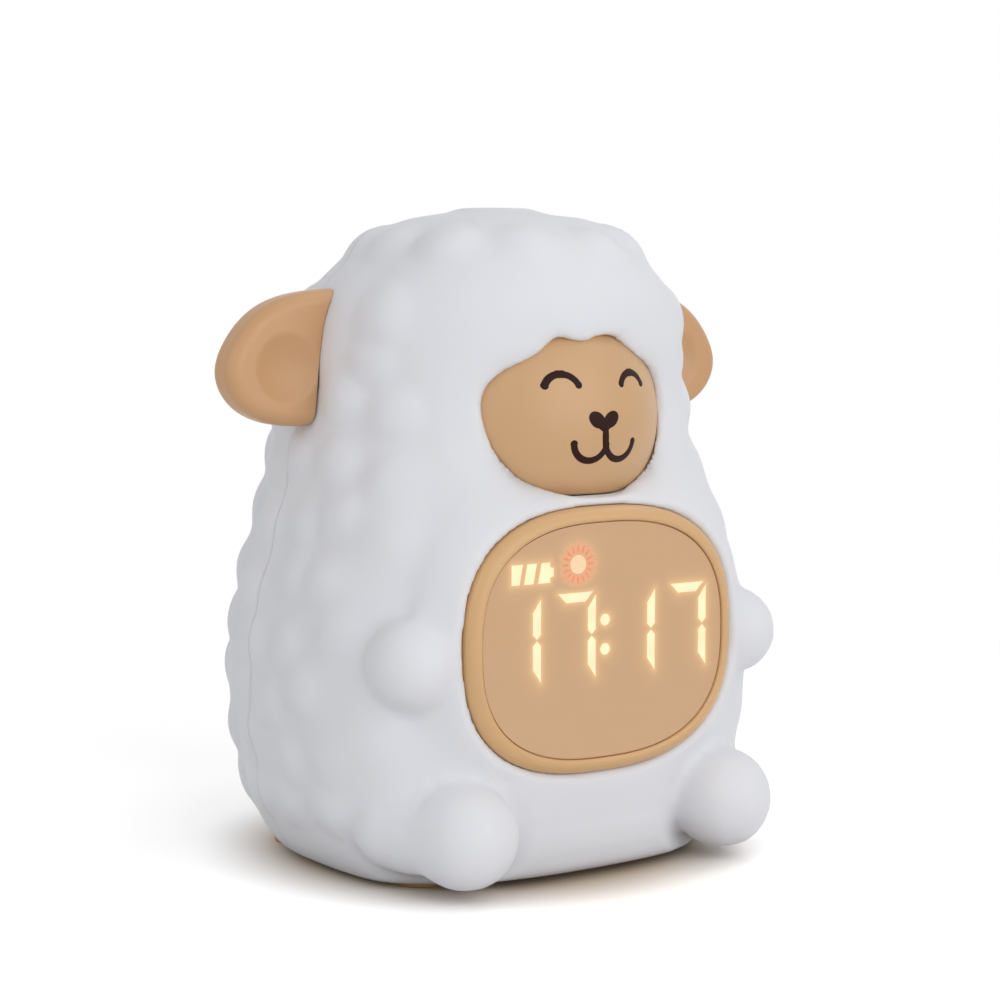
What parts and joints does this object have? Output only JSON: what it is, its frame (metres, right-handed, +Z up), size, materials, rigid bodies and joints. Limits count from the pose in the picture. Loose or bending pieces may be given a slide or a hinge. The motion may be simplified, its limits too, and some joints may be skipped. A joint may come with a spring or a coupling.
{
  "type": "alarm clock",
  "caption": "Sheep-shaped child's alarm clock and night light: woolly silicone skin over a milky shell, face plate, ears, round-cornered display, rear keys and rubber foot pads.",
  "frame": {"origin": "on the table, in the middle of the clock's length, width and depth", "axes": "+Z up, the face and display look along -Y, +X is to the viewer's right"},
  "size_m": [0.128, 0.1008, 0.14],
  "materials": {
    "white_silicone": "matt moulded silicone",
    "tan_abs": "satin moulded",
    "face_abs": "satin moulded, printed",
    "bezel_abs": "satin moulded",
    "lens_window": "smoked tan window",
    "mask_abs": "moulded",
    "segment_diffuser": "lit diffuser",
    "circuit_board": "solder mask",
    "milky_shell": "translucent",
    "steel_screw": "zinc plated",
    "tan_rubber": "moulded rubber",
    "speaker_metal": "black",
    "battery_wrap": "pouch foil",
    "cream_abs": "satin moulded",
    "cream_rubber": "moulded keys",
    "switch_black": "moulded",
    "socket_steel": "drawn shell",
    "reflector_white": "white reflector",
    "led_resin": "cast resin"
  },
  "bodies": {
    "clock": {"base_plate": "tan_abs", "base_screws": "steel_screw", "battery": "battery_wrap", "battery_cradle": "mask_abs", "board_screws": "steel_screw", "display_bezel": "bezel_abs", "display_board": "circuit_board", "display_lens": "lens_window", "display_module": "mask_abs", "display_retainer": "milky_shell", "display_segments": "segment_diffuser", "ear_fasteners": "steel_screw", "face_plate": "face_abs", "foot_pads": "tan_rubber", "front_shell": "milky_shell", "key_switches": "switch_black", "left_ear": "tan_abs", "light_board": "circuit_board", "light_leds": "led_resin", "light_reflector": "reflector_white", "main_board": "circuit_board", "rear_panel": "tan_abs", "rear_shell": "milky_shell", "right_ear": "tan_abs", "shell_screws": "steel_screw", "silicone_skin": "white_silicone", "slide_switch": "switch_black", "speaker": "speaker_metal", "tap_sensor": "switch_black", "usb_socket": "socket_steel"},
    "key_alarm": {"key_alarm": "cream_rubber"},
    "key_light": {"key_light": "cream_rubber"},
    "key_minus": {"key_minus": "cream_rubber"},
    "key_plus": {"key_plus": "cream_rubber"},
    "switch": {"switch_knob": "cream_abs"}
  },
  "joints": [
    {"name": "key_alarm_press", "type": "slide", "parent": "clock", "child": "key_alarm", "axis": [0, -1, 0], "range_m": [0, 0.0006], "stiffness_N_per_m": 300},
    {"name": "key_light_press", "type": "slide", "parent": "clock", "child": "key_light", "axis": [0, -1, 0], "range_m": [0, 0.0006], "stiffness_N_per_m": 300},
    {"name": "key_minus_press", "type": "slide", "parent": "clock", "child": "key_minus", "axis": [0, -1, 0], "range_m": [0, 0.0006], "stiffness_N_per_m": 300},
    {"name": "key_plus_press", "type": "slide", "parent": "clock", "child": "key_plus", "axis": [0, -1, 0], "range_m": [0, 0.0006], "stiffness_N_per_m": 300},
    {"name": "power_slide", "type": "slide", "parent": "clock", "child": "switch", "axis": [1, 0, 0], "range_m": [0, 0.003]}
  ]
}
